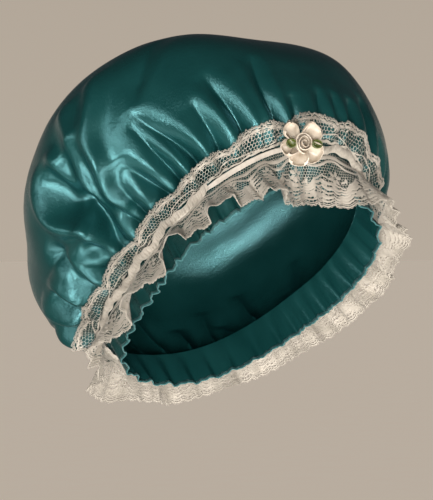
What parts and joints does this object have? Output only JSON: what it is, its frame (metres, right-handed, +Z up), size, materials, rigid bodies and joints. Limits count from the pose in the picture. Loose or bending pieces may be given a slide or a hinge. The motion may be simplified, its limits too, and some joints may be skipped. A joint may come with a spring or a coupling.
{
  "type": "satin hair bonnet",
  "caption": "Puffed satin hair bonnet gathered on an elastic line, with a satin frill, a lace edging over the gathers and a small ribbon flower with a rolled bud at the forehead, held open as if worn",
  "frame": {"origin": "centre of the loop along which the satin is gathered, where the bonnet sits round the head", "axes": "+Z up as worn, the forehead and the flower at -Y, +X to the wearer's left; the gathered loop leans 42 degrees, high at the forehead and low at the nape"},
  "size_m": [0.2774, 0.2599, 0.2584],
  "materials": {
    "satin": "deep teal satin with a soft sheen",
    "lace": "cream lace with a faint pink cast",
    "elastic": "matt cream narrow elastic",
    "ribbon": "cream satin ribbon",
    "green_ribbon": "olive green ribbon"
  },
  "bodies": {
    "root": {"satin_crown": "satin", "lace_edging": "lace", "gathering_band": "elastic", "petal_1": "ribbon", "petal_2": "ribbon", "petal_3": "ribbon", "petal_4": "ribbon", "petal_5": "ribbon", "rosebud": "ribbon", "leaf_left": "green_ribbon", "leaf_right": "green_ribbon"}
  },
  "joints": []
}
